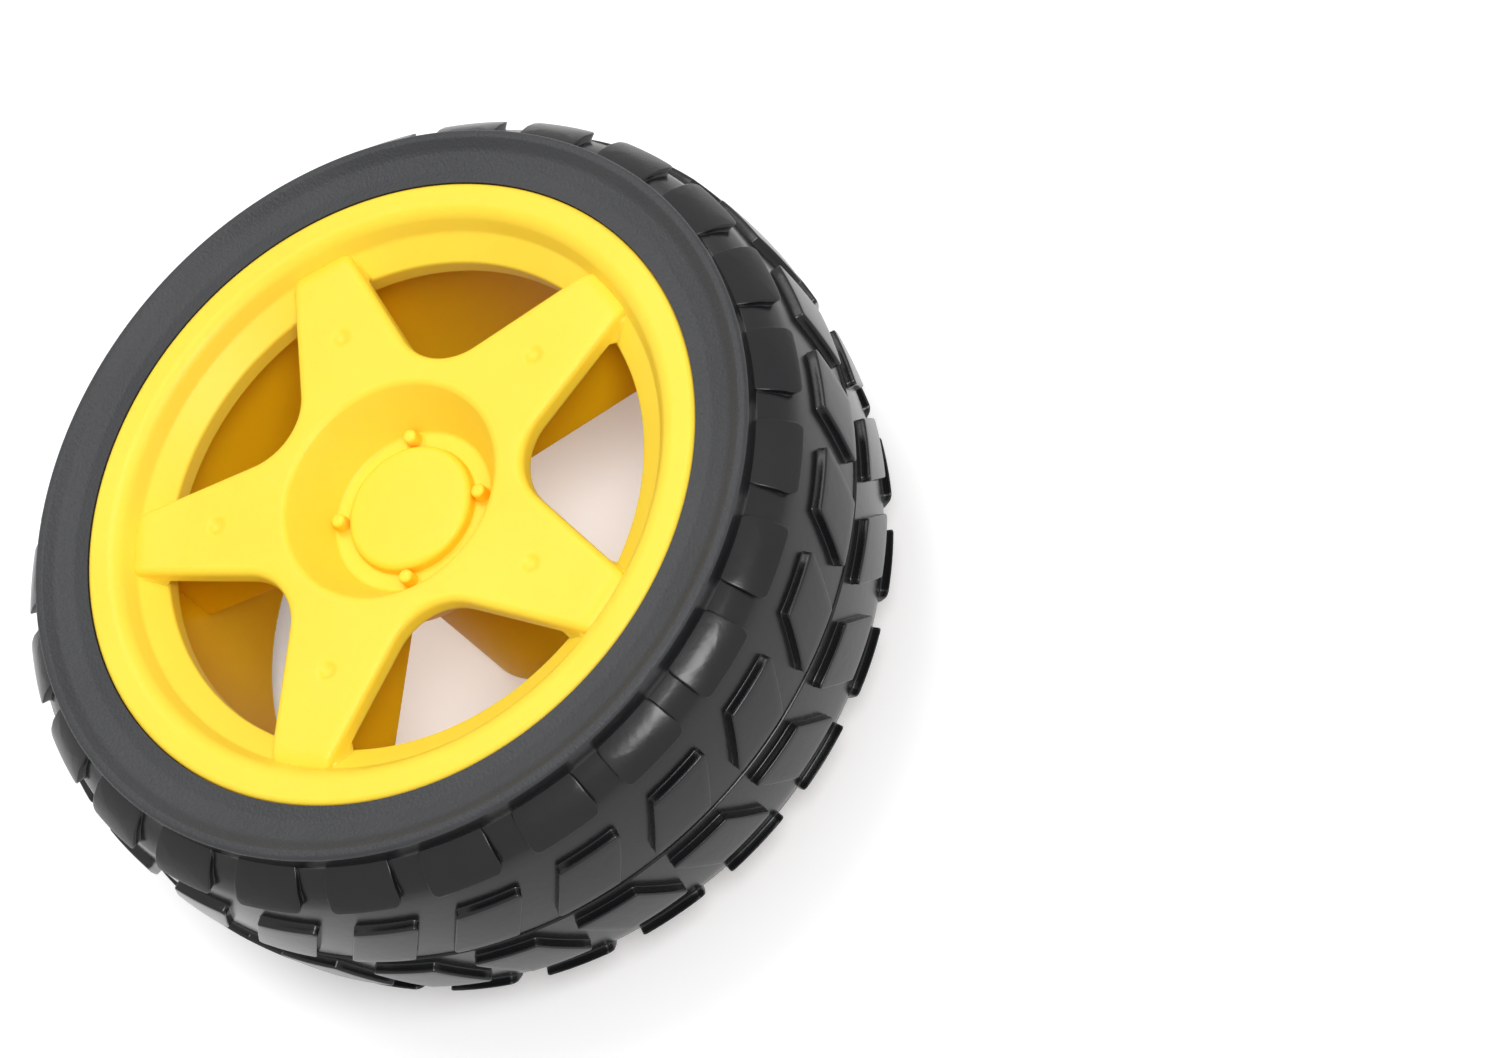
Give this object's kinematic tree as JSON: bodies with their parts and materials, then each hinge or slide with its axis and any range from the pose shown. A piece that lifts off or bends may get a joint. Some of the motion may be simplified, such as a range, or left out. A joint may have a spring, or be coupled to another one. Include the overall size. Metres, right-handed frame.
{
  "type": "robot car wheel",
  "caption": "Moulded plastic wheel with a star of spokes and a hollow block-treaded rubber tyre, for the flatted output shaft of a small gear motor.",
  "frame": {"origin": "on the wheel's axis, at the free end of the hub boss, which is the wheel's lowest point as modelled", "axes": "+Z along the wheel's axis from the motor side to the spoked outer face; +X through the middle of one spoke"},
  "size_m": [0.065, 0.065, 0.027],
  "materials": {
    "rim_plastic": "satin moulded yellow plastic",
    "tyre_rubber": "satin black moulded rubber"
  },
  "bodies": {
    "root": {"wheel_rim": "rim_plastic", "tyre": "tyre_rubber"}
  },
  "joints": []
}
